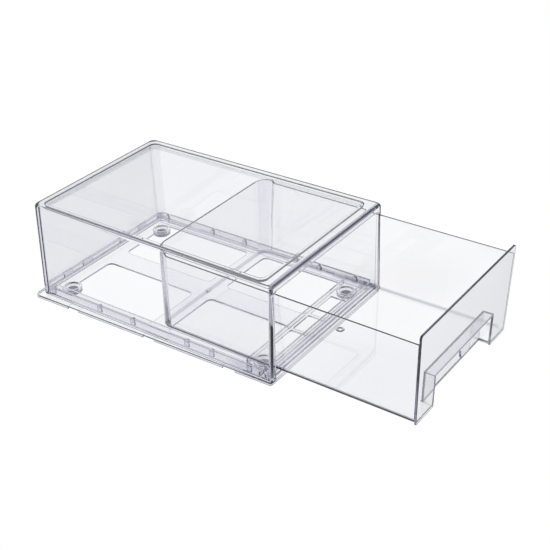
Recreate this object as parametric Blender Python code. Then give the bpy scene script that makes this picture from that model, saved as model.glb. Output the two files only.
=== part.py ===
"""Clear stackable fridge drawer: a cover shell snapped onto a base frame, and a drawer that slides in it.

Frame: +Z up, -Y is the front, where the drawer comes out. The drawer is modelled half pulled out, and
the origin is on the surface the pads stand on, in the middle of the space the whole part then takes.
The functions below measure depths from the middle of the cover, and main() moves the assembly.
"""
import math

import bmesh
import bpy

MM = 0.001

# Cover shell: half widths, how much each side is narrower at the rear, depth, height and wall
COVER_HALF_TOP_FRONT = 101.5 * MM
COVER_HALF_BOTTOM_FRONT = 104.8 * MM
COVER_TAPER = 1.7 * MM
COVER_FRONT = -158.9 * MM
COVER_REAR = 153.5 * MM
COVER_TOP = 113.5 * MM
COVER_BOTTOM = 5.1 * MM
COVER_WALL = 2.2 * MM
COVER_REAR_RADIUS = 7.5 * MM
COVER_FRONT_RADIUS = 2.6 * MM
TOP_EDGE_RADIUS = 1.8 * MM
RIM_WIDTH = 9.2 * MM
RIM_FRONT = 16.4 * MM
RECESS_DEPTH = 3.6 * MM
RECESS_RADIUS = 6.5 * MM
RECESS_WALL = 1.8 * MM
RECESS_DRAFT = 0.4 * MM
TOP_PANEL = 2.0 * MM
MOUTH_HALF = 97.4 * MM
MOUTH_TOP = 105.4 * MM
MOUTH_FRAME = 3.8 * MM

# Base frame
BASE_HALF_FRONT = 104.4 * MM
BASE_HALF_REAR = 110.0 * MM
BASE_FRONT = -157.4 * MM
BASE_REAR = 159.0 * MM
BASE_REAR_RADIUS = 7.0 * MM
BASE_FRONT_RADIUS = 3.0 * MM
SKIRT_BOTTOM = 0.8 * MM
SKIRT_WALL = 1.6 * MM
SHELF_TOP = 4.7 * MM
SHELF_BOTTOM = 2.9 * MM
RAIL_TOP = 15.5 * MM
RAIL_WALL = 1.8 * MM
RAIL_CLEARANCE = 0.7 * MM
FLOOR_BOTTOM = 4.9 * MM
FLOOR_TOP = 6.9 * MM
CENTRE_BAR_HALF = 14.0 * MM
OPENING_OUTER = 87.5 * MM
OPENING_REAR = 131.0 * MM
CROSS_BAR_REAR = 9.5 * MM
CROSS_BAR_FRONT = -14.5 * MM
OPENING_FRONT = -118.2 * MM
OPENING_RADIUS = 6.0 * MM
WINDOW_REAR = -123.2 * MM
WINDOW_FRONT = -140.2 * MM
WINDOW_ENDS = ((-59.0 * MM, -18.5 * MM), (-14.5 * MM, 14.5 * MM), (18.5 * MM, 59.0 * MM))
FRONT_RIB_Y = (-119.8 * MM, -142.0 * MM, -149.0 * MM)
FRONT_RIB_TOP = 11.9 * MM
RIB_WALL = 1.8 * MM
RUNNER_X = 90.5 * MM
RUNNER_TOP = 13.3 * MM
RUNNER_FRONT = -149.4 * MM
RUNNER_REAR = 143.0 * MM
CLIP_Y = (138.0 * MM, 70.0 * MM, 23.0 * MM, -50.0 * MM, -82.0 * MM, -129.0 * MM)
CLIP_HALF = 2.6 * MM
CLIP_DEPTH = 2.4 * MM
CLIP_TOP = 14.7 * MM
NOTCH_Y = (102.0 * MM, -3.0 * MM, -106.0 * MM)
NOTCH_HALF = 7.5 * MM
NOTCH_TOP = 3.4 * MM
REAR_SLOTS = ((-93.0 * MM, -70.0 * MM), (-57.0 * MM, -39.0 * MM), (-24.0 * MM, 24.0 * MM),
              (39.0 * MM, 57.0 * MM), (70.0 * MM, 93.0 * MM))
SLOT_BOTTOM = 9.4 * MM
SLOT_TOP = 13.1 * MM

# Foot pads
PAD_X = 77.0 * MM
PAD_Y = 131.0 * MM
PAD_RADIUS = 6.3 * MM
PAD_HEIGHT = 2.6 * MM
PAD_GAP = 0.3 * MM
BOSS_RADIUS = 10.5 * MM
BOSS_BOTTOM = 1.2 * MM
BOSS_TOP = 7.9 * MM
CUP_RADIUS = 7.9 * MM
CUP_FLOOR = 4.4 * MM

# Drawer tray, drawn at the place it has when shut
OPENED_BY = 151.6 * MM
TRAY_BACK = 141.9 * MM
TRAY_FRONT = -159.7 * MM
TRAY_HALF_TOP_FRONT = 96.2 * MM
TRAY_HALF_BOTTOM_FRONT = 93.0 * MM
TRAY_TAPER = 1.5 * MM
TRAY_TOP = 103.1 * MM
TRAY_BOTTOM = 13.7 * MM
TRAY_WALL = 1.8 * MM
TRAY_FLOOR = 2.0 * MM
TRAY_RADIUS = 10.0 * MM
TRAY_FLOOR_RADIUS = 3.0 * MM
STOP_LIP_TOP = 106.7 * MM
STOP_LIP_FRONT = 125.6 * MM
STOP_LIP_SLOPE = 3.0 * MM

# Drawer front: a plate with a finger pocket behind its lower middle
PLATE = 2.4 * MM
PLATE_TOP = 112.8 * MM
PLATE_BOTTOM = 12.5 * MM
PLATE_HALF_TOP = 96.6 * MM
PLATE_HALF_BOTTOM = 93.2 * MM
PLATE_CORNER = 2.0 * MM
PLATE_LEAN = 0.030
POCKET_HALF = 60.0 * MM
POCKET_TOP = 48.0 * MM
POCKET_DEPTH = 14.0 * MM
POCKET_WALL = 1.8 * MM
TAB_HALF = 8.0 * MM
TAB_BOTTOM = 37.5 * MM
SEAM = 0.3 * MM

CORNER_STEPS = 5
ROUND_STEPS = 24


def clear_scene():
    for obj in list(bpy.data.objects):
        bpy.data.objects.remove(obj, do_unlink=True)


def material(name, colour, roughness, transmission=0.0):
    mat = bpy.data.materials.new(name)
    mat.use_nodes = True
    shader = mat.node_tree.nodes["Principled BSDF"]
    shader.inputs["Base Color"].default_value = (*colour, 1.0)
    shader.inputs["Roughness"].default_value = roughness
    shader.inputs["Metallic"].default_value = 0.0
    shader.inputs["Transmission Weight"].default_value = transmission
    shader.inputs["IOR"].default_value = 1.58
    return mat


def outline(half_front, half_rear, front, rear, radius_front, radius_rear, steps=CORNER_STEPS):
    """Points of a rounded four-sided outline, counter-clockwise from the front left corner."""
    corners = ((-half_front, front, radius_front, math.pi), (half_front, front, radius_front, 1.5 * math.pi),
               (half_rear, rear, radius_rear, 0.0), (-half_rear, rear, radius_rear, 0.5 * math.pi))
    points = []
    for x, y, radius, start in corners:
        centre_x = x - math.copysign(radius, x)
        centre_y = y + radius if y == front else y - radius
        for step in range(steps + 1):
            angle = start + 0.5 * math.pi * step / steps
            points.append((centre_x + radius * math.cos(angle), centre_y + radius * math.sin(angle)))
    return points


def ring(points, height):
    return [(x, y, height) for x, y in points]


def loft(name, rings):
    """A closed body through rings of equal length, capped at both ends."""
    bm = bmesh.new()
    rows = [[bm.verts.new(point) for point in points] for points in rings]
    count = len(rows[0])
    for low, high in zip(rows, rows[1:]):
        for i in range(count):
            j = (i + 1) % count
            bm.faces.new((low[i], low[j], high[j], high[i]))
    bm.faces.new(rows[0][::-1])
    bm.faces.new(rows[-1])
    return finish_mesh(name, bm)


def finish_mesh(name, bm):
    bmesh.ops.recalc_face_normals(bm, faces=bm.faces[:])
    mesh = bpy.data.meshes.new(name)
    bm.to_mesh(mesh)
    bm.free()
    mesh.shade_smooth()
    mesh.set_sharp_from_angle(angle=math.radians(30.0))
    obj = bpy.data.objects.new(name, mesh)
    bpy.context.collection.objects.link(obj)
    return obj


def prism(bm, points, bottom, top):
    """Add an upright prism over a flat outline to bm."""
    low = [bm.verts.new((x, y, bottom)) for x, y in points]
    high = [bm.verts.new((x, y, top)) for x, y in points]
    for i in range(len(points)):
        j = (i + 1) % len(points)
        bm.faces.new((low[i], low[j], high[j], high[i]))
    bm.faces.new(low[::-1])
    bm.faces.new(high)


def block(bm, low, high):
    prism(bm, ((low[0], low[1]), (high[0], low[1]), (high[0], high[1]), (low[0], high[1])), low[2], high[2])


def round_block(bm, low, high, radius, bottom, top):
    half = (high[0] - low[0]) / 2
    points = outline(half, half, low[1], high[1], radius, radius)
    prism(bm, [(x + low[0] + half, y) for x, y in points], bottom, top)


def disc(bm, x, y, radius, bottom, top):
    turns = [2 * math.pi * i / ROUND_STEPS for i in range(ROUND_STEPS)]
    prism(bm, [(x + radius * math.cos(a), y + radius * math.sin(a)) for a in turns], bottom, top)


def tool(name, bm):
    """A hidden body that a Boolean uses."""
    obj = finish_mesh(name, bm)
    obj.hide_render = True
    obj.display_type = "WIRE"
    return obj


def combine(obj, other, operation):
    modifier = obj.modifiers.new(other.name, "BOOLEAN")
    modifier.operation = operation
    modifier.object = other
    modifier.solver = "EXACT"


def cover_half(height, rear):
    share = (height - COVER_BOTTOM) / (COVER_TOP - COVER_BOTTOM)
    front_half = COVER_HALF_BOTTOM_FRONT + (COVER_HALF_TOP_FRONT - COVER_HALF_BOTTOM_FRONT) * share
    return front_half - COVER_TAPER if rear else front_half


def cover_ring(inset, height, radius_front, radius_rear, setback=0.0):
    """A ring that follows the cover's outline, its front further back by the setback."""
    points = outline(cover_half(height, False) - inset, cover_half(height, True) - inset,
                     COVER_FRONT + setback + inset, COVER_REAR - inset, radius_front, radius_rear)
    return ring(points, height)


def make_cover():
    """A box open at the front and below, with a stacking recess in its top."""
    wall, edge = COVER_WALL, TOP_EDGE_RADIUS
    front, rear = COVER_FRONT_RADIUS, COVER_REAR_RADIUS
    inner_front, inner_rear = 0.6 * MM, rear - wall
    under, bend = RIM_WIDTH - RECESS_WALL, RECESS_RADIUS + RECESS_WALL
    rim, frame = RIM_FRONT - RIM_WIDTH, MOUTH_FRAME - wall
    rings = [cover_ring(under, COVER_TOP - RECESS_DEPTH - TOP_PANEL, bend, bend, rim),
             cover_ring(under, COVER_TOP - wall, bend, bend, rim),
             cover_ring(wall, COVER_TOP - wall, inner_front, inner_rear, frame),
             cover_ring(wall, COVER_BOTTOM, inner_front, inner_rear, frame),
             cover_ring(0.0, COVER_BOTTOM, front, rear)]
    for step in range(4):
        angle = 0.5 * math.pi * step / 3
        inset = edge * (1.0 - math.cos(angle))
        rings.append(cover_ring(inset, COVER_TOP - edge * (1.0 - math.sin(angle)), front, rear - inset))
    rings.append(cover_ring(RIM_WIDTH, COVER_TOP, RECESS_RADIUS, RECESS_RADIUS, rim))
    rings.append(cover_ring(RIM_WIDTH + RECESS_DRAFT, COVER_TOP - RECESS_DEPTH, RECESS_RADIUS, RECESS_RADIUS, rim))
    cover = loft("cover_shell", rings)
    bm = bmesh.new()
    block(bm, (-MOUTH_HALF, COVER_FRONT - wall, 0.0), (MOUTH_HALF, COVER_FRONT + MOUTH_FRAME + wall, MOUTH_TOP))
    combine(cover, tool("cover_mouth_tool", bm), "DIFFERENCE")
    return cover


def rail_outline(inset, radius_rear):
    clear = COVER_WALL + RAIL_CLEARANCE + inset
    return outline(COVER_HALF_BOTTOM_FRONT - clear, COVER_HALF_BOTTOM_FRONT - COVER_TAPER - clear,
                   COVER_FRONT + MOUTH_FRAME - COVER_WALL + clear, COVER_REAR - clear, 1.0 * MM, radius_rear)


def base_rings():
    """Section of the frame, from the floor's underside round the skirt and rail to the floor's top."""
    outer = outline(BASE_HALF_FRONT, BASE_HALF_REAR, BASE_FRONT, BASE_REAR,
                    BASE_FRONT_RADIUS, BASE_REAR_RADIUS)
    skirt_inner = outline(BASE_HALF_FRONT - SKIRT_WALL, BASE_HALF_REAR - SKIRT_WALL,
                          BASE_FRONT + SKIRT_WALL, BASE_REAR - SKIRT_WALL,
                          BASE_FRONT_RADIUS - SKIRT_WALL, BASE_REAR_RADIUS - SKIRT_WALL)
    rail_outer = rail_outline(0.0, 5.0 * MM)
    rail_inner = rail_outline(RAIL_WALL, 3.5 * MM)
    return [ring(rail_inner, FLOOR_BOTTOM), ring(rail_inner, SHELF_BOTTOM), ring(skirt_inner, SHELF_BOTTOM),
            ring(skirt_inner, SKIRT_BOTTOM), ring(outer, SKIRT_BOTTOM), ring(outer, SHELF_TOP),
            ring(rail_outer, SHELF_TOP), ring(rail_outer, RAIL_TOP), ring(rail_inner, RAIL_TOP),
            ring(rail_inner, FLOOR_TOP)]


def rail_face(y):
    """X of the rail's inner face at a depth y."""
    share = (y - COVER_FRONT) / (COVER_REAR - COVER_FRONT)
    return COVER_HALF_BOTTOM_FRONT - COVER_TAPER * share - COVER_WALL - RAIL_CLEARANCE - RAIL_WALL


def base_additions():
    """Ribs and clips that stand on the base frame's floor and rail."""
    bm = bmesh.new()
    sunk = FLOOR_TOP - 1.0 * MM
    for y in FRONT_RIB_Y:
        reach = rail_face(y) + 0.5 * RAIL_WALL if y < WINDOW_FRONT else RUNNER_X
        block(bm, (-reach, y - RIB_WALL / 2, sunk), (reach, y + RIB_WALL / 2, FRONT_RIB_TOP))
    for side in (-1, 1):
        for y in CLIP_Y:
            face = rail_face(y)
            ends = sorted((side * (face - CLIP_DEPTH), side * (face + 0.5 * RAIL_WALL)))
            block(bm, (ends[0], y - CLIP_HALF, sunk), (ends[1], y + CLIP_HALF, CLIP_TOP))
    return bm


def base_runners():
    """The two upright runners under the drawer."""
    bm = bmesh.new()
    for side in (-1, 1):
        ends = sorted((side * (RUNNER_X - RIB_WALL / 2), side * (RUNNER_X + RIB_WALL / 2)))
        block(bm, (ends[0], RUNNER_FRONT, FLOOR_TOP - 0.8 * MM), (ends[1], RUNNER_REAR, RUNNER_TOP))
    return bm


def base_cuts():
    """Floor openings, front windows, skirt notches, rail slots and pad sockets."""
    bm = bmesh.new()
    low, high = FLOOR_BOTTOM - 1.0 * MM, FLOOR_TOP + 1.0 * MM
    for x0, x1 in ((-OPENING_OUTER, -CENTRE_BAR_HALF), (CENTRE_BAR_HALF, OPENING_OUTER)):
        round_block(bm, (x0, CROSS_BAR_REAR), (x1, OPENING_REAR), OPENING_RADIUS, low, high)
        round_block(bm, (x0, OPENING_FRONT), (x1, CROSS_BAR_FRONT), OPENING_RADIUS, low, high)
    for x0, x1 in WINDOW_ENDS:
        round_block(bm, (x0, WINDOW_FRONT), (x1, WINDOW_REAR), 1.0 * MM, low, high)
    for side in (-1, 1):
        for y in NOTCH_Y:
            ends = sorted((side * (BASE_HALF_FRONT - 1.6 * SKIRT_WALL), side * (BASE_HALF_REAR + SKIRT_WALL)))
            block(bm, (ends[0], y - NOTCH_HALF, 0.0), (ends[1], y + NOTCH_HALF, NOTCH_TOP))
    for x0, x1 in REAR_SLOTS:
        wall = COVER_REAR - COVER_WALL - RAIL_CLEARANCE
        block(bm, (x0, wall - 2 * RAIL_WALL, SLOT_BOTTOM), (x1, wall + 1.0 * MM, SLOT_TOP))
    block(bm, (-BASE_HALF_REAR, BASE_FRONT - 1.0 * MM, FRONT_RIB_TOP), (BASE_HALF_REAR, FRONT_RIB_Y[-1] + 2.0 * MM, 2 * RAIL_TOP))
    return bm


def foot_bosses():
    """Round bosses that hold the pads and close the floor openings' corners."""
    bm = bmesh.new()
    for side in (-1, 1):
        for y in (-PAD_Y, PAD_Y):
            disc(bm, side * PAD_X, y, BOSS_RADIUS, BOSS_BOTTOM, BOSS_TOP)
    return bm


def pad_sockets():
    """Sockets for the pads from below, and the open cups over them."""
    bm = bmesh.new()
    for side in (-1, 1):
        for y in (-PAD_Y, PAD_Y):
            disc(bm, side * PAD_X, y, PAD_RADIUS + PAD_GAP, BOSS_BOTTOM - 1.0 * MM, PAD_HEIGHT + PAD_GAP)
            disc(bm, side * PAD_X, y, CUP_RADIUS, CUP_FLOOR, BOSS_TOP + 1.0 * MM)
    return bm


def make_base():
    base = loft("base_frame", base_rings())
    combine(base, tool("base_cut_tool", base_cuts()), "DIFFERENCE")
    combine(base, tool("base_boss_tool", foot_bosses()), "UNION")
    combine(base, tool("base_rib_tool", base_additions()), "UNION")
    combine(base, tool("base_runner_tool", base_runners()), "UNION")
    combine(base, tool("pad_socket_tool", pad_sockets()), "DIFFERENCE")
    return base


def make_pads():
    pads = []
    for name, x, y in (("foot_pad_front_left", -PAD_X, -PAD_Y), ("foot_pad_front_right", PAD_X, -PAD_Y),
                       ("foot_pad_rear_left", -PAD_X, PAD_Y), ("foot_pad_rear_right", PAD_X, PAD_Y)):
        bm = bmesh.new()
        disc(bm, x, y, PAD_RADIUS, 0.0, PAD_HEIGHT)
        pads.append(finish_mesh(name, bm))
    return pads


def tray_half(height, rear):
    share = (height - TRAY_BOTTOM) / (TRAY_TOP - TRAY_BOTTOM)
    front_half = TRAY_HALF_BOTTOM_FRONT + (TRAY_HALF_TOP_FRONT - TRAY_HALF_BOTTOM_FRONT) * share
    return front_half - TRAY_TAPER if rear else front_half


def tray_ring(inset, height, radius):
    points = outline(tray_half(height, False) - inset, tray_half(height, True) - inset,
                     TRAY_FRONT - 2 * TRAY_WALL, TRAY_BACK - inset, 0.5 * MM, radius)
    middle = len(points) // 2
    right_foot, right_head = side_step(points[middle - 1], points[middle])
    left_head, left_foot = side_step(points[-1], points[0])
    points = points[:middle] + [right_foot, right_head] + points[middle:] + [left_head, left_foot]
    return ring(points, height)


def side_step(start, end):
    """Two points on a side, in order from start to end, at the foot and the head of the stop lip."""
    depths = (STOP_LIP_FRONT, STOP_LIP_FRONT + STOP_LIP_SLOPE)
    if start[1] > end[1]:
        depths = depths[::-1]
    shares = [(y - start[1]) / (end[1] - start[1]) for y in depths]
    return [(start[0] + (end[0] - start[0]) * share, y) for share, y in zip(shares, depths)]


def tray_rim(inset, radius):
    """The tray's top edge: level, with a raised stop lip round the back."""
    points = tray_ring(inset, TRAY_TOP, radius)
    return [(x, y, STOP_LIP_TOP if y > STOP_LIP_FRONT + 0.5 * STOP_LIP_SLOPE else z) for x, y, z in points]


def tray_front_y(height):
    """Back face of the leaning front plate, where the tray's walls and floor end."""
    return TRAY_FRONT + PLATE_LEAN * (PLATE_TOP - height)


def make_tray():
    """An open-topped tray whose front is left open for the front plate, with a raised stop lip at the back."""
    wall, bend = TRAY_WALL, TRAY_FLOOR_RADIUS
    rings = [tray_ring(bend, TRAY_BOTTOM, TRAY_RADIUS - bend)]
    for step in range(1, 4):
        angle = 0.5 * math.pi * step / 3
        inset = bend * (1.0 - math.sin(angle))
        rings.append(tray_ring(inset, TRAY_BOTTOM + bend * (1.0 - math.cos(angle)), TRAY_RADIUS - inset))
    rings.append(tray_rim(0.0, TRAY_RADIUS))
    rings.append(tray_rim(wall, TRAY_RADIUS - wall))
    rings.append(tray_ring(wall, TRAY_BOTTOM + bend + 1.0 * MM, TRAY_RADIUS - wall))
    rings.append(tray_ring(wall + 2.0 * MM, TRAY_BOTTOM + TRAY_FLOOR, TRAY_RADIUS - wall - 2.0 * MM))
    tray = loft("drawer_tray", rings)
    far = 0.2
    bm = bmesh.new()
    profile = [(tray_front_y(0.0) + SEAM, 0.0), (tray_front_y(2 * PLATE_TOP) + SEAM, 2 * PLATE_TOP),
               (-far, 2 * PLATE_TOP), (-far, 0.0)]
    side_prism(bm, profile, -far, far)
    combine(tray, tool("tray_front_tool", bm), "DIFFERENCE")
    bm = bmesh.new()
    reach = POCKET_HALF + POCKET_WALL + SEAM
    back = tray_front_y(TRAY_BOTTOM) + POCKET_DEPTH - PLATE + SEAM
    block(bm, (-reach, -far, 0.0), (reach, back, TRAY_BOTTOM + 2 * TRAY_FLOOR))
    combine(tray, tool("tray_pocket_tool", bm), "DIFFERENCE")
    return tray


def side_prism(bm, profile, x0, x1):
    """A prism along X over a (y, z) outline."""
    left = [bm.verts.new((x0, y, z)) for y, z in profile]
    right = [bm.verts.new((x1, y, z)) for y, z in profile]
    for i in range(len(profile)):
        j = (i + 1) % len(profile)
        bm.faces.new((left[i], left[j], right[j], right[i]))
    bm.faces.new(left[::-1])
    bm.faces.new(right)


def leaning_plate(bm, points, front, back):
    """A plate over an (x, z) outline, leaning forward at its top."""
    def at(x, z, y):
        return bm.verts.new((x, y + PLATE_LEAN * (PLATE_TOP - z), z))
    near = [at(x, z, front) for x, z in points]
    behind = [at(x, z, back) for x, z in points]
    for i in range(len(points)):
        j = (i + 1) % len(points)
        bm.faces.new((near[i], near[j], behind[j], behind[i]))
    bm.faces.new(near[::-1])
    bm.faces.new(behind)


def plate_outline():
    c = PLATE_CORNER
    return [(-PLATE_HALF_BOTTOM, PLATE_BOTTOM), (PLATE_HALF_BOTTOM, PLATE_BOTTOM),
            (PLATE_HALF_TOP, PLATE_TOP - c), (PLATE_HALF_TOP - c, PLATE_TOP),
            (-PLATE_HALF_TOP + c, PLATE_TOP), (-PLATE_HALF_TOP, PLATE_TOP - c)]


def make_front():
    """The front plate, its finger cut-out with a centre tab, and the pocket behind it."""
    front_y = TRAY_FRONT - PLATE
    bm = bmesh.new()
    leaning_plate(bm, plate_outline(), front_y, TRAY_FRONT)
    front = finish_mesh("drawer_front", bm)
    half, top, wall = POCKET_HALF, POCKET_TOP, POCKET_WALL
    depth = POCKET_DEPTH
    bm = bmesh.new()
    shell = [(-half - wall, PLATE_BOTTOM + 1.0 * MM), (half + wall, PLATE_BOTTOM + 1.0 * MM),
             (half + wall, top + wall), (-half - wall, top + wall)]
    leaning_plate(bm, shell, front_y + 0.5 * PLATE, front_y + depth)
    combine(front, tool("pocket_shell_tool", bm), "UNION")
    bm = bmesh.new()
    hollow = [(-half, -PLATE_BOTTOM), (half, -PLATE_BOTTOM), (half, top), (-half, top)]
    leaning_plate(bm, hollow, TRAY_FRONT, front_y + depth - wall)
    combine(front, tool("pocket_hollow_tool", bm), "DIFFERENCE")
    bm = bmesh.new()
    cut = [(-half, -PLATE_BOTTOM), (half, -PLATE_BOTTOM), (half, top), (TAB_HALF + 3.0 * MM, top),
           (TAB_HALF, TAB_BOTTOM), (-TAB_HALF, TAB_BOTTOM), (-TAB_HALF - 3.0 * MM, top), (-half, top)]
    leaning_plate(bm, cut, front_y - PLATE, TRAY_FRONT + 0.1 * MM)
    combine(front, tool("finger_cut_tool", bm), "DIFFERENCE")
    return front


def empty(name, parent, y):
    obj = bpy.data.objects.new(name, None)
    bpy.context.collection.objects.link(obj)
    obj.parent = parent
    obj.location = (0.0, y, 0.0)
    return obj


def main():
    clear_scene()
    clear = material("clear_plastic", (0.93, 0.94, 0.96), 0.05, 1.0)
    pad_grey = material("pad_rubber", (0.33, 0.34, 0.37), 0.6)
    for obj in (make_cover(), make_base()):
        obj.data.materials.append(clear)
    for pad in make_pads():
        pad.data.materials.append(pad_grey)
    fixed = list(bpy.data.objects)
    for obj in (make_tray(), make_front()):
        obj.data.materials.append(clear)
    sliding = [obj for obj in bpy.data.objects if obj not in fixed]
    middle = (OPENED_BY + PLATE - TRAY_FRONT - BASE_REAR) / 2
    assembly = empty("assembly", None, middle)
    drawer = empty("drawer", assembly, -OPENED_BY)
    for obj in fixed:
        obj.parent = assembly
    for obj in sliding:
        obj.parent = drawer


main()
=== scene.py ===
"""Looks for the clear fridge drawer bin: moulded cover, base frame, drawer and rubber pads, in a white studio.

Lengths are in metres. Shapes are drawn in the bin's own frame: depths from the middle between the foot pads,
with -Y the front, and the drawer drawn shut. place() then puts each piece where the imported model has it.
"""
import math

import bmesh
import bpy
from mathutils import Matrix, Vector


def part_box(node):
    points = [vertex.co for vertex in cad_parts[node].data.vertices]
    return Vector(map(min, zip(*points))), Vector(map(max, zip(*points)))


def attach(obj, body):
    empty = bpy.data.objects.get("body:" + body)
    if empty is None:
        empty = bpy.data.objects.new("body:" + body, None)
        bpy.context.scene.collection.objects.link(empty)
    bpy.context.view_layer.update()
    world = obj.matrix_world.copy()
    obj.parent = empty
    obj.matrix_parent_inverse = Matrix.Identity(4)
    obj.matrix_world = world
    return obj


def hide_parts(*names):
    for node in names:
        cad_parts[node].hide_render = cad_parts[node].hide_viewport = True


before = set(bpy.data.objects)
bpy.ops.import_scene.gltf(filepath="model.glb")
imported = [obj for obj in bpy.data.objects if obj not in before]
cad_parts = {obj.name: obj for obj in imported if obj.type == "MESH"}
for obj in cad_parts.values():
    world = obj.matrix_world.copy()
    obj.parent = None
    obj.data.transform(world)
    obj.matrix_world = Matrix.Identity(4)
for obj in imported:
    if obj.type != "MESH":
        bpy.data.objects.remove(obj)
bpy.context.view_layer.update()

MM = 0.001
STEPS = 8

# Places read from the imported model
COVER_LOW, COVER_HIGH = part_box("cover_shell")
BASE_LOW, BASE_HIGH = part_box("base_frame")
TRAY_LOW, TRAY_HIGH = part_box("drawer_tray")
FRONT_LOW, FRONT_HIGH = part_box("drawer_front")
PAD_LOW, PAD_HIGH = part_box("foot_pad_rear_right")
COVER_REAR = 153.5 * MM
MIDDLE = COVER_HIGH.y - COVER_REAR

# Cover shell
COVER_FRONT = COVER_LOW.y - MIDDLE
COVER_TOP = COVER_HIGH.z
COVER_BOTTOM = COVER_LOW.z
COVER_HALF_BOTTOM = COVER_HIGH.x
COVER_DRAFT = 3.1 * MM
COVER_TAPER = 1.7 * MM
COVER_WALL = 2.2 * MM
COVER_THINNED = 0.8 * MM
COVER_THINNED_HEIGHT = 8.0 * MM
COVER_EDGE = 3.0 * MM
NOSE_DEPTH = 6.4 * MM
NOSE_DROP = 3.4 * MM
COVER_CORNER = 3.4 * MM
COVER_REAR_RADIUS = 7.5 * MM
COVER_INNER_RADIUS = 10.0 * MM
COVER_INNER_CORNER = 0.8 * MM
RIM_WIDTH = 9.2 * MM
RIM_FRONT = 16.4 * MM
RECESS_DEPTH = 3.6 * MM
RECESS_RADIUS = 6.5 * MM
RECESS_WALL = 1.8 * MM
RECESS_DRAFT = 0.4 * MM
TOP_PANEL = 2.0 * MM
MOUTH_HALF = 97.4 * MM
MOUTH_TOP = 105.4 * MM
MOUTH_CORNER = 5.0 * MM
MOUTH_FRAME = 3.8 * MM
COVER_ROUND = 0.45 * MM

# Base frame
BASE_HALF_FRONT = 104.4 * MM
BASE_HALF_REAR = BASE_HIGH.x
BASE_FRONT = BASE_LOW.y - MIDDLE
BASE_REAR = BASE_HIGH.y - MIDDLE
BASE_REAR_RADIUS = 7.0 * MM
BASE_FRONT_RADIUS = 3.0 * MM
SKIRT_BOTTOM = BASE_LOW.z
SKIRT_WALL = 1.6 * MM
SKIRT_EASE = 0.6 * MM
SHELF_TOP = 4.7 * MM
SHELF_BOTTOM = 2.9 * MM
RAIL_TOP = BASE_HIGH.z
RAIL_WALL = 1.8 * MM
RAIL_CORNER = 1.0 * MM
RAIL_REAR_RADIUS = 8.0 * MM
RAIL_CLEARANCE = 0.7 * MM
FLOOR_BOTTOM = 4.9 * MM
FLOOR_TOP = 6.9 * MM
CENTRE_BAR_HALF = 14.0 * MM
OPENING_OUTER = 87.5 * MM
OPENING_REAR = 131.0 * MM
CROSS_BAR_REAR = 9.5 * MM
CROSS_BAR_FRONT = -14.5 * MM
OPENING_FRONT = -118.2 * MM
OPENING_RADIUS = 6.0 * MM
WINDOW_REAR = -123.2 * MM
WINDOW_FRONT = -140.2 * MM
WINDOW_ENDS = ((-59.0 * MM, -18.5 * MM), (-14.5 * MM, 14.5 * MM), (18.5 * MM, 59.0 * MM))
FRONT_RIB_Y = (-119.8 * MM, -142.0 * MM, -149.0 * MM)
FRONT_RIB_TOP = 11.9 * MM
RIB_WALL = 1.8 * MM
RUNNER_X = 90.5 * MM
RUNNER_TOP = 13.3 * MM
RUNNER_FRONT = -149.4 * MM
RUNNER_REAR = 143.0 * MM
CLIP_Y = (138.0 * MM, 70.0 * MM, 23.0 * MM, -50.0 * MM, -82.0 * MM, -129.0 * MM)
CLIP_HALF = 2.6 * MM
CLIP_DEPTH = 2.4 * MM
CLIP_TOP = 15.2 * MM
NOTCH_Y = (102.0 * MM, -3.0 * MM, -106.0 * MM)
NOTCH_HALF = 7.5 * MM
NOTCH_TOP = 3.4 * MM
NOTCH_DEPTH = 1.6 * SKIRT_WALL
REAR_SLOTS = ((-93.0 * MM, -70.0 * MM), (-57.0 * MM, -39.0 * MM), (-24.0 * MM, 24.0 * MM),
              (39.0 * MM, 57.0 * MM), (70.0 * MM, 93.0 * MM))
SLOT_BOTTOM = 9.4 * MM
SLOT_TOP = 13.1 * MM
BOSS_RADIUS = 10.5 * MM
BOSS_BOTTOM = 1.2 * MM
BOSS_TOP = 7.9 * MM
CUP_RADIUS = 7.9 * MM
CUP_FLOOR = 4.4 * MM
BASE_GATE = (-2.0 * MM, -2.0 * MM)
BASE_ROUND = 0.25 * MM
OVERCUT = 1.0 * MM

# Foot pads
PAD_X = (PAD_LOW.x + PAD_HIGH.x) / 2
PAD_Y = (PAD_LOW.y + PAD_HIGH.y) / 2 - MIDDLE
PAD_RADIUS = (PAD_HIGH.x - PAD_LOW.x) / 2
PAD_HEIGHT = PAD_HIGH.z
PAD_GAP = 0.3 * MM
PAD_ROUND = 0.6 * MM

# Drawer tray, drawn shut
TRAY_BACK = 141.9 * MM
OPENED_BY = TRAY_BACK - (TRAY_HIGH.y - MIDDLE)
TRAY_FRONT = -159.7 * MM
TRAY_HALF_TOP = 96.2 * MM
TRAY_HALF_BOTTOM = 93.0 * MM
TRAY_TAPER = 1.5 * MM
TRAY_TOP = 103.1 * MM
TRAY_BOTTOM = TRAY_LOW.z
TRAY_WALL = 1.8 * MM
TRAY_FLOOR = 2.0 * MM
TRAY_RADIUS = 10.0 * MM
TRAY_RADIUS_GROWTH = 7.0 * MM
TRAY_CORNER_FILL = 3.0 * MM
TRAY_FLOOR_RADIUS = 3.0 * MM
TRAY_FRONT_CORNER = 0.5 * MM
TRAY_GATE = (0.0, -20.4 * MM)
TRAY_ROUND = 0.3 * MM
STOP_LIP_TOP = TRAY_HIGH.z
STOP_LIP_FRONT = 125.6 * MM
STOP_LIP_SLOPE = 3.0 * MM

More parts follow.
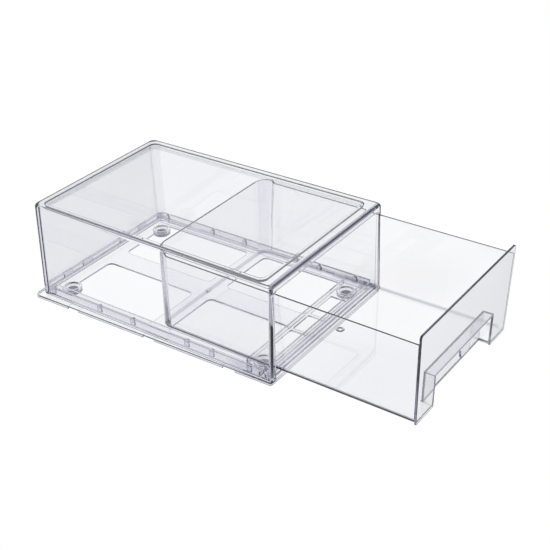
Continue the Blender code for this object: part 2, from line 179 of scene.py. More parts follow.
# Drawer front
PLATE = 2.4 * MM
PLATE_TOP = FRONT_HIGH.z
PLATE_BOTTOM = FRONT_LOW.z
PLATE_HALF_TOP = 96.6 * MM
PLATE_HALF_BOTTOM = 93.2 * MM
PLATE_CORNER = 3.0 * MM
PLATE_LEAN = 0.030
POCKET_HALF = 60.0 * MM
POCKET_TOP = 48.0 * MM
POCKET_DEPTH = 14.0 * MM
POCKET_WALL = 1.8 * MM
TAB_HALF = 8.0 * MM
TAB_BOTTOM = 37.5 * MM
TAB_SLOPE = 3.0 * MM
PLATE_ROUND = 0.5 * MM
SEAM = 0.3 * MM

# Camera: its angles in degrees, and how far it stands from the middle, along its own directions
CAMERA_TURN = -54.5
CAMERA_RISE = 31.0
CAMERA_ROLL = 1.467
CAMERA_LENS = 74.24
CAMERA_SENSOR = 36.0
CAMERA_RIGHT = 73.5 * MM
CAMERA_UP = 18.9 * MM
CAMERA_BACK = 1257.2 * MM
CAMERA_AIM_HEIGHT = 2.5 * MM

# Studio light. A fade has its start and end, and the brightness of a mirror image there. A dark spot has its
# place on the floor and its reach.
WHITE = (1.0, 1.0, 1.0, 1.0)
COOL_WHITE = (0.74, 0.75, 0.92, 1.0)
COOLED_BY = 4.0
MIRRORED = 0.92
DIMMEST = 0.05
FLOOR_RADIUS = 12.0
FLOOR_GAP = 0.4 * MM
FLOOR_TURN = 40.0
FLOOR_FADE = (-0.25, 0.25, 0.88, 0.60)
DARK_SPOTS = ((-0.15, -0.17, 0.11), (0.015, -0.10, 0.09))
DARK_SPOT = 0.15
CEILING_FADE = (0.55, 0.85, 0.95, 0.06)
INNER_BOUNCES = 40

# Clear plastic
FLOW_THIN = (0.984, 0.986, 0.992, 1.0)
FLOW_THICK = (0.998, 0.998, 1.0, 1.0)
# Painted shade: the base colour seen edge-on, standing in for the dark edge lines that refraction gives
EDGE_ON_PAINTED_SHADE = (0.16, 0.165, 0.21, 1.0)
DEEP = (0.66, 0.69, 0.80, 1.0)
DEEP_DENSITY = 20.0

# Painted shade: the grey that refraction and inner reflections give thick or edge-on plastic, painted into the
# base colour at these places. Each has the painted shade colour multiplied in there, and the fades that bound
# the place. A fade has what is measured, where the painted shade starts and where it is full. A slope is how
# far the surface faces along an axis, aside is the distance from the bin's left-right middle, and y and z are
# places in the imported model at rest.
PAINTED_SHADE_PLACES = {
    "upright_corner": ((0.87, 0.87, 0.90, 1.0), (("slope_x", 0.1, 0.4), ("slope_y", 0.1, 0.4))),
    "front_crest": ((0.42, 0.43, 0.51, 1.0), (("slope_y", 0.04, 0.25), ("slope_z", 0.60, 0.95),
                                              ("y", -20.0 * MM, -60.0 * MM))),
    "flange_edge": ((0.45, 0.46, 0.56, 1.0), (("slope_z", 0.98, 0.8), ("z", 2.9 * MM, 2.1 * MM))),
    "rear_wall": ((0.84, 0.84, 0.86, 1.0), (("slope_y", 0.9, 0.98), ("y", 200.0 * MM, 220.0 * MM))),
    "drawer_lip": ((0.35, 0.36, 0.42, 1.0), (("slope_z", 0.1, 0.4), ("z", 100.0 * MM, 101.0 * MM),
                                             ("z", 105.0 * MM, 104.5 * MM))),
    "cover_foot": ((0.92, 0.925, 0.94, 1.0), (("slope_z", 0.3, 0.1), ("z", 16.0 * MM, 15.4 * MM),
                                              ("z", 4.0 * MM, 12.0 * MM))),
    "drawer_foot": ((0.66, 0.67, 0.72, 1.0), (("slope_z", 0.99, 0.93), ("z", 13.4 * MM, 13.7 * MM),
                                              ("z", 18.0 * MM, 16.5 * MM), ("aside", 97.0 * MM, 96.0 * MM),
                                              ("y", 205.0 * MM, 200.0 * MM), ("y", -228.0 * MM, -222.0 * MM))),
    "clip": ((0.60, 0.61, 0.66, 1.0), (("z", 7.3 * MM, 8.0 * MM), ("z", 16.0 * MM, 15.5 * MM),
                                       ("aside", 95.0 * MM, 95.5 * MM), ("aside", 98.3 * MM, 98.1 * MM))),
    "base_front_corner": ((0.92, 0.92, 0.94, 1.0), (("y", -20.0 * MM, -40.0 * MM), ("z", 16.0 * MM, 15.0 * MM),
                                                    ("aside", 80.0 * MM, 90.0 * MM))),
}

# Pad rubber
RUBBER_DARK = (0.26, 0.27, 0.31, 1.0)
RUBBER_LIGHT = (0.38, 0.39, 0.43, 1.0)


# ---------------------------------------------------------------- node tools

def new_material(name):
    mat = bpy.data.materials.new(name)
    mat.use_nodes = True
    mat.node_tree.nodes.clear()
    return mat, mat.node_tree


def feed(tree, node, inputs):
    """Fix each of a node's inputs at a value or link it to an output, and give the node back."""
    for name, value in inputs.items():
        if isinstance(value, bpy.types.NodeSocket):
            tree.links.new(value, node.inputs[name])
        else:
            node.inputs[name].default_value = value
    return node


def parts_of(tree, vector):
    return feed(tree, tree.nodes.new("ShaderNodeSeparateXYZ"), {0: vector}).outputs


def combine(tree, operation, first, second):
    """The result of one maths operation."""
    node = tree.nodes.new("ShaderNodeMath")
    node.operation = operation
    return feed(tree, node, {0: first, 1: second}).outputs[0]


def times(tree, first, *others):
    result = first
    for value in others:
        result = combine(tree, "MULTIPLY", result, value)
    return result


def fade(tree, value, start, end, low=0.0, high=1.0, kind="SMOOTHSTEP"):
    """Low before the start, high past the end. The end may lie below the start."""
    node = tree.nodes.new("ShaderNodeMapRange")
    node.interpolation_type = kind
    inputs = {"Value": value, "From Min": start, "From Max": end, "To Min": low, "To Max": high}
    return feed(tree, node, inputs).outputs[0]


def mix_colours(tree, share, first, second, blend="MIX"):
    node = tree.nodes.new("ShaderNodeMix")
    node.data_type = "RGBA"
    node.blend_type = blend
    return feed(tree, node, {"Factor": share, "A": first, "B": second}).outputs["Result"]


def ramp_colours(tree, value, low, high):
    """A colour ramp between two stops, each a position and a colour."""
    node = tree.nodes.new("ShaderNodeValToRGB")
    for stop, (position, colour) in zip(node.color_ramp.elements, (low, high)):
        stop.position = position
        stop.color = colour
    return feed(tree, node, {0: value}).outputs[0]


def noise(tree, place, scale, detail):
    node = tree.nodes.new("ShaderNodeTexNoise")
    return feed(tree, node, {"Vector": place, "Scale": scale, "Detail": detail}).outputs["Fac"]


def bump(tree, height, strength, distance):
    node = tree.nodes.new("ShaderNodeBump")
    return feed(tree, node, {"Height": height, "Strength": strength, "Distance": distance}).outputs[0]


# ---------------------------------------------------------------- camera and studio

def make_camera():
    """A long lens, looking down on the near left corner."""
    turn, rise, roll = math.radians(CAMERA_TURN), math.radians(CAMERA_RISE), math.radians(CAMERA_ROLL)
    back = Vector((math.sin(turn) * math.cos(rise), -math.cos(turn) * math.cos(rise), math.sin(rise)))
    level = (-back).cross(Vector((0.0, 0.0, 1.0))).normalized()
    down = (-back).cross(level)
    right = math.cos(roll) * level + math.sin(roll) * down
    up = math.sin(roll) * level - math.cos(roll) * down
    aim = Vector((0.0, MIDDLE, CAMERA_AIM_HEIGHT))
    place = CAMERA_RIGHT * right + CAMERA_UP * up + CAMERA_BACK * back + aim
    data = bpy.data.cameras.new("camera")
    data.lens = CAMERA_LENS
    data.sensor_width = CAMERA_SENSOR
    camera = bpy.data.objects.new("camera", data)
    camera.matrix_world = Matrix.Translation(place) @ Matrix((right, up, back)).transposed().to_4x4()
    bpy.context.scene.collection.objects.link(camera)
    bpy.context.scene.camera = camera


def lit_by_reflection(tree, brightness, light):
    """Straight rays see a light white. A mirrored ray sees it dimmer, one that went round inside the plastic
    dimmer still, at the given brightness for each bounce, and cooler."""
    path = tree.nodes.new("ShaderNodeLightPath").outputs
    mirror = tree.nodes.new("ShaderNodeMix")
    share = feed(tree, mirror, {"Factor": path["Is Reflection Ray"], "A": brightness, "B": MIRRORED})
    dimmed = combine(tree, "POWER", share.outputs["Result"], path["Glossy Depth"])
    strength = combine(tree, "MAXIMUM", dimmed, DIMMEST)
    coolness = fade(tree, path["Glossy Depth"], 0.0, COOLED_BY, kind="LINEAR")
    colour = mix_colours(tree, coolness, WHITE, COOL_WHITE)
    return feed(tree, light, {"Strength": strength, "Color": colour}).outputs[0]


def make_floor():
    """A large white table that lights the bin from below. Its mirror image fades to the right and the front,
    and has two soft dark spots that shade the drawer's walls."""
    bm = bmesh.new()
    bmesh.ops.create_circle(bm, cap_ends=True, segments=96, radius=FLOOR_RADIUS)
    mesh = bpy.data.meshes.new("studio_floor")
    bm.to_mesh(mesh)
    bm.free()
    floor = bpy.data.objects.new("studio_floor", mesh)
    floor.location = (0.0, 0.0, -FLOOR_GAP)
    bpy.context.scene.collection.objects.link(floor)
    mat, tree = new_material("studio_white")
    place = tree.nodes.new("ShaderNodeTexCoord").outputs["Object"]
    mapping = tree.nodes.new("ShaderNodeMapping")
    turned_place = feed(tree, mapping, {"Vector": place, "Rotation": (0.0, 0.0, math.radians(FLOOR_TURN))})
    across = parts_of(tree, turned_place.outputs[0])["X"]
    brightness = fade(tree, across, *FLOOR_FADE, kind="LINEAR")
    for x, y, reach in DARK_SPOTS:
        away = tree.nodes.new("ShaderNodeVectorMath")
        away.operation = "DISTANCE"
        distance = feed(tree, away, {0: place, 1: (x, y, 0.0)}).outputs["Value"]
        brightness = times(tree, brightness, fade(tree, distance, 0.0, reach, DARK_SPOT))
    light = lit_by_reflection(tree, brightness, tree.nodes.new("ShaderNodeEmission"))
    feed(tree, tree.nodes.new("ShaderNodeOutputMaterial"), {"Surface": light})
    mesh.materials.append(mat)


def make_world():
    """White walls, and a ceiling whose mirror image is dark."""
    scene = bpy.context.scene
    scene.world = bpy.data.worlds.new("studio_world")
    scene.world.use_nodes = True
    tree = scene.world.node_tree
    tree.nodes.clear()
    height = parts_of(tree, tree.nodes.new("ShaderNodeTexCoord").outputs["Generated"])["Z"]
    brightness = fade(tree, height, *CEILING_FADE, kind="LINEAR")
    sky = lit_by_reflection(tree, brightness, tree.nodes.new("ShaderNodeBackground"))
    feed(tree, tree.nodes.new("ShaderNodeOutputWorld"), {"Surface": sky})
    scene.view_settings.view_transform = "Standard"
    scene.cycles.max_bounces = INNER_BOUNCES
    scene.cycles.transmission_bounces = INNER_BOUNCES
    scene.cycles.glossy_bounces = INNER_BOUNCES
    scene.cycles.diffuse_bounces = 4
    scene.cycles.transparent_max_bounces = 16


# ---------------------------------------------------------------- materials

def paint_shade_places(tree, place, colour):
    """Paint shade into a colour: darken it at each of the painted shade places."""
    size = tree.nodes.new("ShaderNodeVectorMath")
    size.operation = "ABSOLUTE"
    slope = parts_of(tree, feed(tree, size, {0: place["Normal"]}).outputs[0])
    spot = parts_of(tree, place["Object"])
    measures = {"slope_x": slope["X"], "slope_y": slope["Y"], "slope_z": slope["Z"],
                "aside": combine(tree, "ABSOLUTE", spot["X"], 0.0), "y": spot["Y"], "z": spot["Z"]}
    # Painted shade: each place's grey is multiplied into the base colour
    for shade, bounds in PAINTED_SHADE_PLACES.values():
        share = times(tree, *[fade(tree, measures[name], start, end) for name, start, end in bounds])
        colour = mix_colours(tree, share, colour, shade, "MULTIPLY")
    return colour


def clear_plastic():
    """Water-clear moulded polystyrene: faint flow haze and waviness, painted shade edge-on and at the painted
    shade places, and a cool tint that deep paths pick up."""
    mat, tree = new_material("clear_plastic")
    place = tree.nodes.new("ShaderNodeTexCoord").outputs
    flow = noise(tree, place["Object"], 14.0, 3.0)
    tint = ramp_colours(tree, flow, (0.3, FLOW_THIN), (0.7, FLOW_THICK))
    # Painted shade: the base colour darkens where the surface is seen edge-on
    slant = feed(tree, tree.nodes.new("ShaderNodeLayerWeight"), {"Blend": 0.5}).outputs["Facing"]
    tint = mix_colours(tree, fade(tree, slant, 0.60, 0.95), tint, EDGE_ON_PAINTED_SHADE)
    shader = feed(tree, tree.nodes.new("ShaderNodeBsdfPrincipled"), {
        "Transmission Weight": 1.0,
        "IOR": 1.58,
        "Base Color": paint_shade_places(tree, place, tint),
        "Roughness": fade(tree, flow, 0.5, 0.8, 0.0, 0.012, "LINEAR"),
        "Normal": bump(tree, flow, 0.05, 1.0 * MM)})
    depth = tree.nodes.new("ShaderNodeVolumeAbsorption")
    depth.inputs["Color"].default_value = DEEP
    depth.inputs["Density"].default_value = DEEP_DENSITY
    out = tree.nodes.new("ShaderNodeOutputMaterial")
    feed(tree, out, {"Surface": shader.outputs[0], "Volume": depth.outputs[0]})
    return mat


def pad_rubber():
    """Frosted grey rubber."""
    mat, tree = new_material("pad_rubber")
    place = tree.nodes.new("ShaderNodeTexCoord").outputs["Object"]
    grain = noise(tree, place, 900.0, 4.0)
    shader = feed(tree, tree.nodes.new("ShaderNodeBsdfPrincipled"), {
        "Roughness": 0.6,
        "Base Color": ramp_colours(tree, grain, (0.0, RUBBER_DARK), (1.0, RUBBER_LIGHT)),
        "Normal": bump(tree, grain, 0.25, 0.2 * MM)})
    feed(tree, tree.nodes.new("ShaderNodeOutputMaterial"), {"Surface": shader.outputs[0]})
    return mat


# ---------------------------------------------------------------- mesh tools

def arc(centre, radius, start, end, steps=STEPS):
    """Points of an arc in a plane, its ends given in quarter turns."""
    turns = [0.5 * math.pi * (start + (end - start) * i / steps) for i in range(steps + 1)]
    return [(centre[0] + radius * math.cos(t), centre[1] + radius * math.sin(t)) for t in turns]


def outline(half_front, half_rear, front, rear, radius_front, radius_rear, steps=STEPS):
    """Points of a rounded four-sided outline, counter-clockwise from the front left corner."""
    corners = ((-1, half_front, front, radius_front, 2), (1, half_front, front, radius_front, 3),
               (1, half_rear, rear, radius_rear, 0), (-1, half_rear, rear, radius_rear, 1))
    points = []
    for side, half, y, radius, quarter in corners:
        inward = radius if y == front else -radius
        points += arc((side * (half - radius), y + inward), radius, quarter, quarter + 1, steps)
    return points


def ring(points, height):
    return [(x, y, height) for x, y in points]


def mesh_object(name, bm):
    bmesh.ops.recalc_face_normals(bm, faces=bm.faces[:])
    mesh = bpy.data.meshes.new(name)
    bm.to_mesh(mesh)
    bm.free()
    obj = bpy.data.objects.new(name, mesh)
    bpy.context.scene.collection.objects.link(obj)
    return obj


def loft(name, rings):
    """A closed body through rings of equal length, capped at both ends."""
    bm = bmesh.new()
    rows = [[bm.verts.new(point) for point in points] for points in rings]
    count = len(rows[0])
    for low, high in zip(rows, rows[1:]):
        for i in range(count):
            j = (i + 1) % count
            bm.faces.new((low[i], low[j], high[j], high[i]))
    bm.faces.new(rows[0][::-1])
    bm.faces.new(rows[-1])
    return mesh_object(name, bm)


def sweep(bm, low, high):
    """Add a closed prism between two outlines of equal length to bm."""
    first = [bm.verts.new(point) for point in low]
    last = [bm.verts.new(point) for point in high]
    for i in range(len(first)):
        j = (i + 1) % len(first)
        bm.faces.new((first[i], first[j], last[j], last[i]))
    bm.faces.new(first[::-1])
    bm.faces.new(last)


def upright(bm, points, bottom, top):
    sweep(bm, ring(points, bottom), ring(points, top))


def along_y(bm, points, front, rear, lean=0.0):
    """A prism along Y over an (x, z) outline. With lean it tips forward at the plate's top."""
    def at(x, z, y):
        return (x, y + lean * (PLATE_TOP - z), z)
    sweep(bm, [at(x, z, front) for x, z in points], [at(x, z, rear) for x, z in points])


def along_x(bm, points, left, right):
    """A prism along X over a (y, z) outline."""
    sweep(bm, [(left, y, z) for y, z in points], [(right, y, z) for y, z in points])


def block(bm, low, high):
    corners = ((low[0], low[1]), (high[0], low[1]), (high[0], high[1]), (low[0], high[1]))
    upright(bm, corners, low[2], high[2])


def round_block(bm, low, high, radius, bottom, top):
    half = (high[0] - low[0]) / 2
    points = outline(half, half, low[1], high[1], radius, radius)
    upright(bm, [(x + low[0] + half, y) for x, y in points], bottom, top)


def disc(bm, x, y, radius, bottom, top, steps=12):
    upright(bm, arc((x, y), radius, 0, 4, 4 * steps)[:-1], bottom, top)


def turned(bm, x, y, profile, steps=10):
    """A turned shape from (radius, height) points, its first and last on the axis."""
    rows = []
    for radius, height in profile[1:-1]:
        circle = arc((x, y), radius, 0, 4, 4 * steps)[:-1]
        rows.append([bm.verts.new((px, py, height)) for px, py in circle])
    ends = [bm.verts.new((x, y, profile[0][1])), bm.verts.new((x, y, profile[-1][1]))]
    count = len(rows[0])
    for i in range(count):
        j = (i + 1) % count
        bm.faces.new((ends[0], rows[0][j], rows[0][i]))
        bm.faces.new((ends[1], rows[-1][i], rows[-1][j]))
        for low, high in zip(rows, rows[1:]):
            bm.faces.new((low[i], low[j], high[j], high[i]))


def carve(obj, operation, bm):
    """Join a body to obj, or cut it out of obj, for good."""
    other = mesh_object("tool", bm)
    modifier = obj.modifiers.new("carve", "BOOLEAN")
    modifier.operation = operation
    modifier.object = other
    modifier.solver = "EXACT"
    settle(obj)
    bpy.data.objects.remove(other)


def settle(obj):
    """Make the modifiers' result the object's own mesh."""
    graph = bpy.context.evaluated_depsgraph_get()
    mesh = bpy.data.meshes.new_from_object(obj.evaluated_get(graph))
    obj.modifiers.clear()
    obj.data = mesh


def round_edges(obj, width, segments=3):
    """Round every edge that is still sharp, and keep flat faces flat to the eye."""
    bevel = obj.modifiers.new("round_edges", "BEVEL")
    bevel.width = width
    bevel.segments = segments
    bevel.limit_method = "ANGLE"
    bevel.angle_limit = math.radians(38.0)
    bevel.use_clamp_overlap = False
    settle(obj)
    obj.data.shade_smooth()
    normals = obj.modifiers.new("flat_normals", "WEIGHTED_NORMAL")
    normals.weight = 100
    normals.keep_sharp = False
    settle(obj)


def place(obj, node, body, mat, opened=0.0):
    """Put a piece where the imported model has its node, and let it stand for that node."""
    obj.data.transform(Matrix.Translation((0.0, MIDDLE - opened, 0.0)))
    obj.data.materials.clear()
    obj.data.materials.append(mat)
    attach(obj, body)
    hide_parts(node)


# ---------------------------------------------------------------- cover

def cover_ring(inset, height, radius, setback=0.0, radius_front=0.0):
    """A ring that follows the cover's outline, its front further back by the setback."""
    share = (height - COVER_BOTTOM) / (COVER_TOP - COVER_BOTTOM)
    half = COVER_HALF_BOTTOM - COVER_DRAFT * share - inset
    points = outline(half, half - COVER_TAPER, COVER_FRONT + setback + inset, COVER_REAR - inset,
                     radius_front or radius, radius)
    return ring(points, height)


def outer_ring(inset, height):
    """A ring round the cover's outside. The front edge is rounded more than the others."""
    rise = max(height - (COVER_TOP - NOSE_DROP), 0.0) / NOSE_DROP
    nose = NOSE_DEPTH * (1.0 - math.sqrt(max(1.0 - rise * rise, 0.0)))
    setback = max(nose - inset, 0.0)
    return cover_ring(inset, height, COVER_REAR_RADIUS - inset, setback, COVER_CORNER)


def inner_ring(inset, height):
    """A ring round the cover's inside, thick at the rear corners and behind the mouth's frame."""
    return cover_ring(inset, height, COVER_INNER_RADIUS, MOUTH_FRAME - COVER_WALL, COVER_INNER_CORNER)


def recess_ring(inset, height):
    """A ring that follows the stacking recess."""
    return cover_ring(inset, height, RECESS_RADIUS + RIM_WIDTH - inset, RIM_FRONT - RIM_WIDTH)


def make_cover(mat):
    """A box open at the front and below, with a stacking recess in its top and a frame round its mouth."""
    wall, edge, under = COVER_WALL, COVER_EDGE, RIM_WIDTH - RECESS_WALL
    panel = COVER_TOP - RECESS_DEPTH - TOP_PANEL
    ceiling = COVER_TOP - wall
    soft, fine = 1.0 * MM, 0.5 * MM
    sunk = RIM_WIDTH + RECESS_DRAFT
    lowest = COVER_BOTTOM + 0.3 * MM
    foot = [(wall, COVER_BOTTOM + COVER_THINNED_HEIGHT), (wall - COVER_THINNED, lowest)]
    section = [(recess_ring, arc((under + soft, panel + soft), soft, 3, 2, 4)),
               (recess_ring, arc((under - soft, ceiling - soft), soft, 0, 1, 4)),
               (inner_ring, arc((wall + soft, ceiling - soft), soft, 1, 2, 4)),
               (inner_ring, foot),
               (outer_ring, arc((fine, COVER_BOTTOM + fine), fine, 3, 2, 3)),
               (outer_ring, [(0.0, COVER_TOP - NOSE_DROP)]),
               (outer_ring, arc((edge, COVER_TOP - edge), edge, 2, 1, 2 * STEPS)),
               (recess_ring, arc((RIM_WIDTH - fine, COVER_TOP - fine), fine, 1, 0, 3)),
               (recess_ring, arc((sunk + soft, COVER_TOP - RECESS_DEPTH + soft), soft, 2, 3, 4))]
    rings = [follow(inset, height) for follow, points in section for inset, height in points]
    cover = loft("cover", rings)
    bm = bmesh.new()
    corner = MOUTH_CORNER
    mouth = [(MOUTH_HALF, 0.0)] + arc((MOUTH_HALF - corner, MOUTH_TOP - corner), corner, 0, 1) \
        + arc((corner - MOUTH_HALF, MOUTH_TOP - corner), corner, 1, 2) + [(-MOUTH_HALF, 0.0)]
    along_y(bm, mouth, COVER_FRONT - wall, COVER_FRONT + MOUTH_FRAME + wall)
    carve(cover, "DIFFERENCE", bm)
    round_edges(cover, COVER_ROUND)
    place(cover, "cover_shell", "housing", mat)


# ---------------------------------------------------------------- base frame

def skirt_outline(inset):
    return outline(BASE_HALF_FRONT - inset, BASE_HALF_REAR - inset, BASE_FRONT + inset, BASE_REAR - inset,
                   BASE_FRONT_RADIUS - inset, BASE_REAR_RADIUS - inset)


def rail_outline(inset, radius_rear):
    clear = COVER_WALL + RAIL_CLEARANCE + inset
    half = COVER_HALF_BOTTOM - clear
    return outline(half, half - COVER_TAPER, COVER_FRONT + MOUTH_FRAME - COVER_WALL + clear, COVER_REAR - clear,
                   RAIL_CORNER, radius_rear)


def rail_face(y):
    """X of the rail's inner face at a depth y."""
    share = (y - COVER_FRONT) / (COVER_REAR - COVER_FRONT)
    return COVER_HALF_BOTTOM - COVER_TAPER * share - COVER_WALL - RAIL_CLEARANCE - RAIL_WALL


def base_rings():
    """Section of the frame, from the floor's underside round the skirt and rail to the floor's top."""
    outer = skirt_outline(0.0)
    inner = skirt_outline(SKIRT_WALL)
    eased = skirt_outline(SKIRT_EASE)
    rail_outer = rail_outline(0.0, RAIL_REAR_RADIUS)
    rail_inner = rail_outline(RAIL_WALL, RAIL_REAR_RADIUS - RAIL_WALL)
    return [ring(rail_inner, FLOOR_BOTTOM), ring(rail_inner, SHELF_BOTTOM), ring(inner, SHELF_BOTTOM),
            ring(inner, SKIRT_BOTTOM), ring(eased, SKIRT_BOTTOM), ring(outer, SKIRT_BOTTOM + SKIRT_EASE),
            ring(outer, SHELF_TOP - SKIRT_EASE), ring(eased, SHELF_TOP), ring(rail_outer, SHELF_TOP),
            ring(rail_outer, RAIL_TOP), ring(rail_inner, RAIL_TOP), ring(rail_inner, FLOOR_TOP)]


def base_cuts():
    """Floor openings, front windows, flange notches, rail slots and the lowered front."""
    bm = bmesh.new()
    low, high = FLOOR_BOTTOM - OVERCUT, FLOOR_TOP + OVERCUT
    for x0, x1 in ((-OPENING_OUTER, -CENTRE_BAR_HALF), (CENTRE_BAR_HALF, OPENING_OUTER)):
        round_block(bm, (x0, CROSS_BAR_REAR), (x1, OPENING_REAR), OPENING_RADIUS, low, high)
        round_block(bm, (x0, OPENING_FRONT), (x1, CROSS_BAR_FRONT), OPENING_RADIUS, low, high)
    for x0, x1 in WINDOW_ENDS:
        round_block(bm, (x0, WINDOW_FRONT), (x1, WINDOW_REAR), 1.0 * MM, low, high)
    for side in (-1, 1):
        for y in NOTCH_Y:
            ends = sorted((side * (BASE_HALF_FRONT - NOTCH_DEPTH), side * (BASE_HALF_REAR + SKIRT_WALL)))
            block(bm, (ends[0], y - NOTCH_HALF, 0.0), (ends[1], y + NOTCH_HALF, NOTCH_TOP))
    wall = COVER_REAR - COVER_WALL - RAIL_CLEARANCE
    for x0, x1 in REAR_SLOTS:
        block(bm, (x0, wall - 2 * RAIL_WALL, SLOT_BOTTOM), (x1, wall + OVERCUT, SLOT_TOP))
    behind_rib = FRONT_RIB_Y[-1] + 2.0 * MM
    block(bm, (-BASE_HALF_REAR, BASE_FRONT - OVERCUT, FRONT_RIB_TOP),
          (BASE_HALF_REAR, behind_rib, 2 * RAIL_TOP))
    return bm


def base_bosses():
    bm = bmesh.new()
    for side in (-1, 1):
        for y in (-PAD_Y, PAD_Y):
            disc(bm, side * PAD_X, y, BOSS_RADIUS, BOSS_BOTTOM, BOSS_TOP)
    return bm


def base_ribs():
    """Cross ribs at the front, and the arched clips along the rails."""
    bm = bmesh.new()
    sunk = FLOOR_TOP - 1.0 * MM
    for y in FRONT_RIB_Y:
        reach = rail_face(y) + 0.5 * RAIL_WALL if y < WINDOW_FRONT else RUNNER_X
        block(bm, (-reach, y - RIB_WALL / 2, sunk), (reach, y + RIB_WALL / 2, FRONT_RIB_TOP))
    for side in (-1, 1):
        for y in CLIP_Y:
            face = rail_face(y)
            ends = sorted((side * (face - CLIP_DEPTH), side * (face + 0.5 * RAIL_WALL)))
            arch = [(y - CLIP_HALF, sunk), (y + CLIP_HALF, sunk)] \
                + arc((y, CLIP_TOP - CLIP_HALF), CLIP_HALF, 0, 2, 2 * STEPS)
            along_x(bm, arch, ends[0], ends[1])
    return bm


def base_runners():
    bm = bmesh.new()
    sunk = FLOOR_TOP - 0.8 * MM
    for side in (-1, 1):
        ends = sorted((side * (RUNNER_X - RIB_WALL / 2), side * (RUNNER_X + RIB_WALL / 2)))
        block(bm, (ends[0], RUNNER_FRONT, sunk), (ends[1], RUNNER_REAR, RUNNER_TOP))
    return bm


def base_sockets():
    bm = bmesh.new()
    for side in (-1, 1):
        for y in (-PAD_Y, PAD_Y):
            disc(bm, side * PAD_X, y, PAD_RADIUS + PAD_GAP, BOSS_BOTTOM - OVERCUT, PAD_HEIGHT + PAD_GAP)
            disc(bm, side * PAD_X, y, CUP_RADIUS, CUP_FLOOR, BOSS_TOP + OVERCUT)
    return bm


def gate_mark(x, y, height):
    """The low ringed button that the moulding gate leaves on a floor."""
    bm = bmesh.new()
    dip, rise, sunk = 0.1 * MM, 0.8 * MM, -0.5 * MM
    turned(bm, x, y, [(0.0, height + sunk), (4.4 * MM, height + sunk), (4.4 * MM, height + 0.2 * MM),
                      (3.6 * MM, height + rise), (2.8 * MM, height + rise), (2.0 * MM, height + dip),
                      (0.0, height + dip)])
    return bm


def make_base(mat):
    base = loft("base", base_rings())
    carve(base, "DIFFERENCE", base_cuts())
    carve(base, "UNION", base_bosses())
    carve(base, "UNION", base_ribs())
    carve(base, "UNION", base_runners())
    carve(base, "DIFFERENCE", base_sockets())
    carve(base, "UNION", gate_mark(*BASE_GATE, FLOOR_TOP))
    round_edges(base, BASE_ROUND, 2)
    place(base, "base_frame", "housing", mat)


def make_pads(mat):
    """Rubber discs with rounded rims."""
    soft = PAD_ROUND
    rim = arc((PAD_RADIUS - soft, soft), soft, 3, 4, 4)
    rim += arc((PAD_RADIUS - soft, PAD_HEIGHT - soft), soft, 0, 1, 4)
    for node, x, y in (("foot_pad_front_left", -PAD_X, -PAD_Y), ("foot_pad_front_right", PAD_X, -PAD_Y),
                       ("foot_pad_rear_left", -PAD_X, PAD_Y), ("foot_pad_rear_right", PAD_X, PAD_Y)):
        bm = bmesh.new()
        turned(bm, x, y, [(0.0, 0.0)] + rim + [(0.0, PAD_HEIGHT)])
        pad = mesh_object(node.replace("foot_pad", "rubber_pad"), bm)
        pad.data.shade_smooth()
        pad.data.set_sharp_from_angle(angle=math.radians(40.0))
        place(pad, node, "housing", mat)


# ---------------------------------------------------------------- drawer

def tray_points(inset, height, radius):
    share = (height - TRAY_BOTTOM) / (TRAY_TOP - TRAY_BOTTOM)
    half = TRAY_HALF_BOTTOM + (TRAY_HALF_TOP - TRAY_HALF_BOTTOM) * share - inset
    radius += TRAY_RADIUS_GROWTH * share
    points = outline(half, half - TRAY_TAPER, TRAY_FRONT - 2 * TRAY_WALL, TRAY_BACK - inset, TRAY_FRONT_CORNER,
                     radius)
    middle = len(points) // 2
    stations = [STOP_LIP_FRONT + STOP_LIP_SLOPE * i / STEPS for i in range(STEPS + 1)]
    right = [side_point(points[middle - 1], points[middle], y) for y in stations]
    left = [side_point(points[0], points[-1], y) for y in reversed(stations)]
    return points[:middle] + right + points[middle:] + left


def side_point(front, rear, y):
    share = (y - front[1]) / (rear[1] - front[1])
    return (front[0] + (rear[0] - front[0]) * share, y)


def lip_rise(y):
    """How far the tray's top edge stands up at a depth y: the stop lip starts in a smooth step."""
    share = min(max((y - STOP_LIP_FRONT) / STOP_LIP_SLOPE, 0.0), 1.0)
    return (STOP_LIP_TOP - TRAY_TOP) * share * share * (3.0 - 2.0 * share)


def tray_ring(inset, height, radius, rim=False):
    points = tray_points(inset, height, radius)
    return [(x, y, height + lip_rise(y) if rim else height) for x, y in points]


def tray_front_y(height):
    """Back face of the leaning front plate, where the tray's walls and floor end."""
    return TRAY_FRONT + PLATE_LEAN * (PLATE_TOP - height)


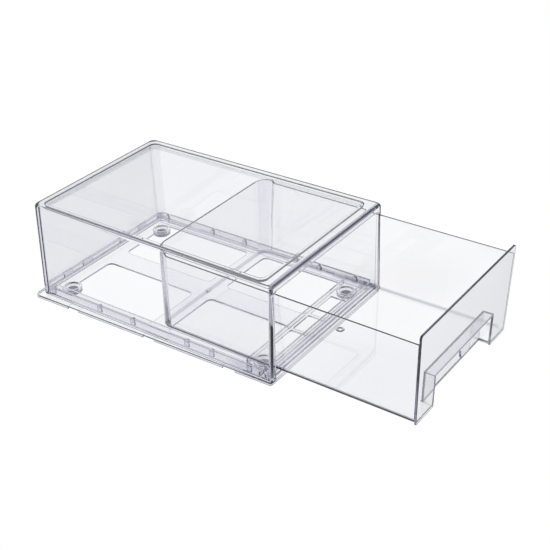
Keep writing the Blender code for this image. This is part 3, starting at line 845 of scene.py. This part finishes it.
def make_tray(mat):
    wall, bend, lip = TRAY_WALL, TRAY_FLOOR_RADIUS, TRAY_WALL / 2
    floor = TRAY_BOTTOM + TRAY_FLOOR
    rings = [tray_ring(i, z, TRAY_RADIUS - i) for i, z in arc((bend, TRAY_BOTTOM + bend), bend, 3, 2, 6)]
    rings += [tray_ring(i, z, TRAY_RADIUS - i, True) for i, z in arc((lip, TRAY_TOP - lip), lip, 2, 0, 8)]
    for i, z in arc((wall + bend, floor + bend), bend, 2, 3, 6):
        rings.append(tray_ring(i, z, TRAY_RADIUS + TRAY_CORNER_FILL - i))
    tray = loft("drawer_box", rings)
    far = 0.2
    bm = bmesh.new()
    along_x(bm, [(tray_front_y(0.0) + SEAM, 0.0), (tray_front_y(2 * PLATE_TOP) + SEAM, 2 * PLATE_TOP),
                 (-far, 2 * PLATE_TOP), (-far, 0.0)], -far, far)
    carve(tray, "DIFFERENCE", bm)
    bm = bmesh.new()
    reach = POCKET_HALF + POCKET_WALL + SEAM
    back = tray_front_y(TRAY_BOTTOM) + POCKET_DEPTH - PLATE + SEAM
    block(bm, (-reach, -far, 0.0), (reach, back, TRAY_BOTTOM + 2 * TRAY_FLOOR))
    carve(tray, "DIFFERENCE", bm)
    carve(tray, "UNION", gate_mark(*TRAY_GATE, floor))
    round_edges(tray, TRAY_ROUND)
    place(tray, "drawer_tray", "drawer", mat, OPENED_BY)


def make_front(mat):
    """The front plate, its finger cut-out with a centre tab, and the pocket behind it."""
    front_y = TRAY_FRONT - PLATE
    corner, half, top, wall = PLATE_CORNER, POCKET_HALF, POCKET_TOP, POCKET_WALL
    bm = bmesh.new()
    face = [(-PLATE_HALF_BOTTOM, PLATE_BOTTOM), (PLATE_HALF_BOTTOM, PLATE_BOTTOM)] \
        + arc((PLATE_HALF_TOP - corner, PLATE_TOP - corner), corner, 0, 1) \
        + arc((corner - PLATE_HALF_TOP, PLATE_TOP - corner), corner, 1, 2)
    along_y(bm, face, front_y, TRAY_FRONT, PLATE_LEAN)
    front = mesh_object("drawer_face", bm)
    bm = bmesh.new()
    shell = [(-half - wall, PLATE_BOTTOM + 1.0 * MM), (half + wall, PLATE_BOTTOM + 1.0 * MM),
             (half + wall, top + wall), (-half - wall, top + wall)]
    along_y(bm, shell, front_y + 0.5 * PLATE, front_y + POCKET_DEPTH, PLATE_LEAN)
    carve(front, "UNION", bm)
    bm = bmesh.new()
    below = -PLATE_BOTTOM
    hollow = [(-half, below), (half, below), (half, top), (-half, top)]
    along_y(bm, hollow, TRAY_FRONT, front_y + POCKET_DEPTH - wall, PLATE_LEAN)
    carve(front, "DIFFERENCE", bm)
    bm = bmesh.new()
    cut = [(-half, below), (half, below), (half, top), (TAB_HALF + TAB_SLOPE, top), (TAB_HALF, TAB_BOTTOM),
           (-TAB_HALF, TAB_BOTTOM), (-TAB_HALF - TAB_SLOPE, top), (-half, top)]
    along_y(bm, cut, front_y - PLATE, TRAY_FRONT + 0.1 * MM, PLATE_LEAN)
    carve(front, "DIFFERENCE", bm)
    round_edges(front, PLATE_ROUND)
    place(front, "drawer_front", "drawer", mat, OPENED_BY)


# ---------------------------------------------------------------- the whole scene

make_camera()
make_world()
make_floor()
CLEAR = clear_plastic()
RUBBER = pad_rubber()
make_cover(CLEAR)
make_base(CLEAR)
make_pads(RUBBER)
make_tray(CLEAR)
make_front(CLEAR)
